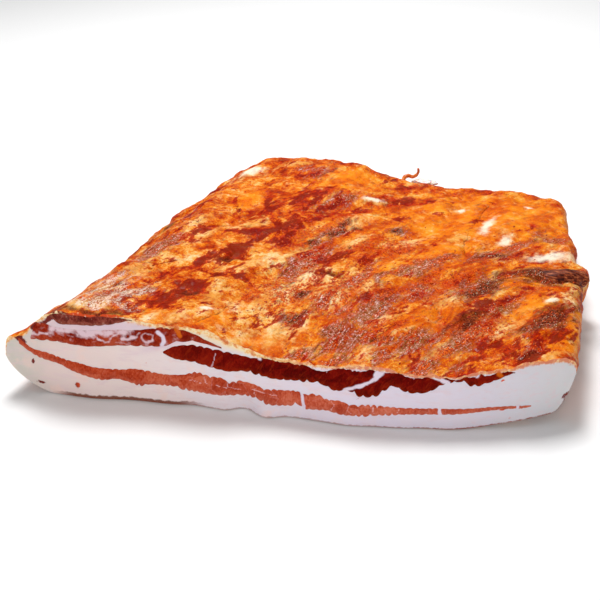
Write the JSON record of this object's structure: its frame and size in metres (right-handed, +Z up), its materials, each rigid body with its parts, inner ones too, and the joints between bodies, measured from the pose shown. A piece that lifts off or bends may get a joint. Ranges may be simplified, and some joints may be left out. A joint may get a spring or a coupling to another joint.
{
  "type": "pancetta slab",
  "caption": "Flat slab of cured pork belly with a spiced orange crust, cut along one side to show white fat and red lean layers.",
  "frame": {"origin": "middle of the slab's box on the surface that it lies on", "axes": "+Z up through the thickness, +X along the cut to the right, +Y away from the cut to the back edge"},
  "size_m": [0.2892, 0.2874, 0.0513],
  "materials": {
    "fat_and_crust": "oily paprika rub over fat, white where cut",
    "lean": "moist cut meat, pinkish red",
    "dark_lean": "moist cut meat, dark red",
    "marbled_lean": "moist cut meat with white marbling",
    "dried_lean": "dried meat, rough"
  },
  "bodies": {
    "root": {"fat_slab": "fat_and_crust", "lower_lean": "lean", "upper_lean": "dark_lean", "left_lean": "marbled_lean", "dried_lean": "dried_lean"}
  },
  "joints": []
}
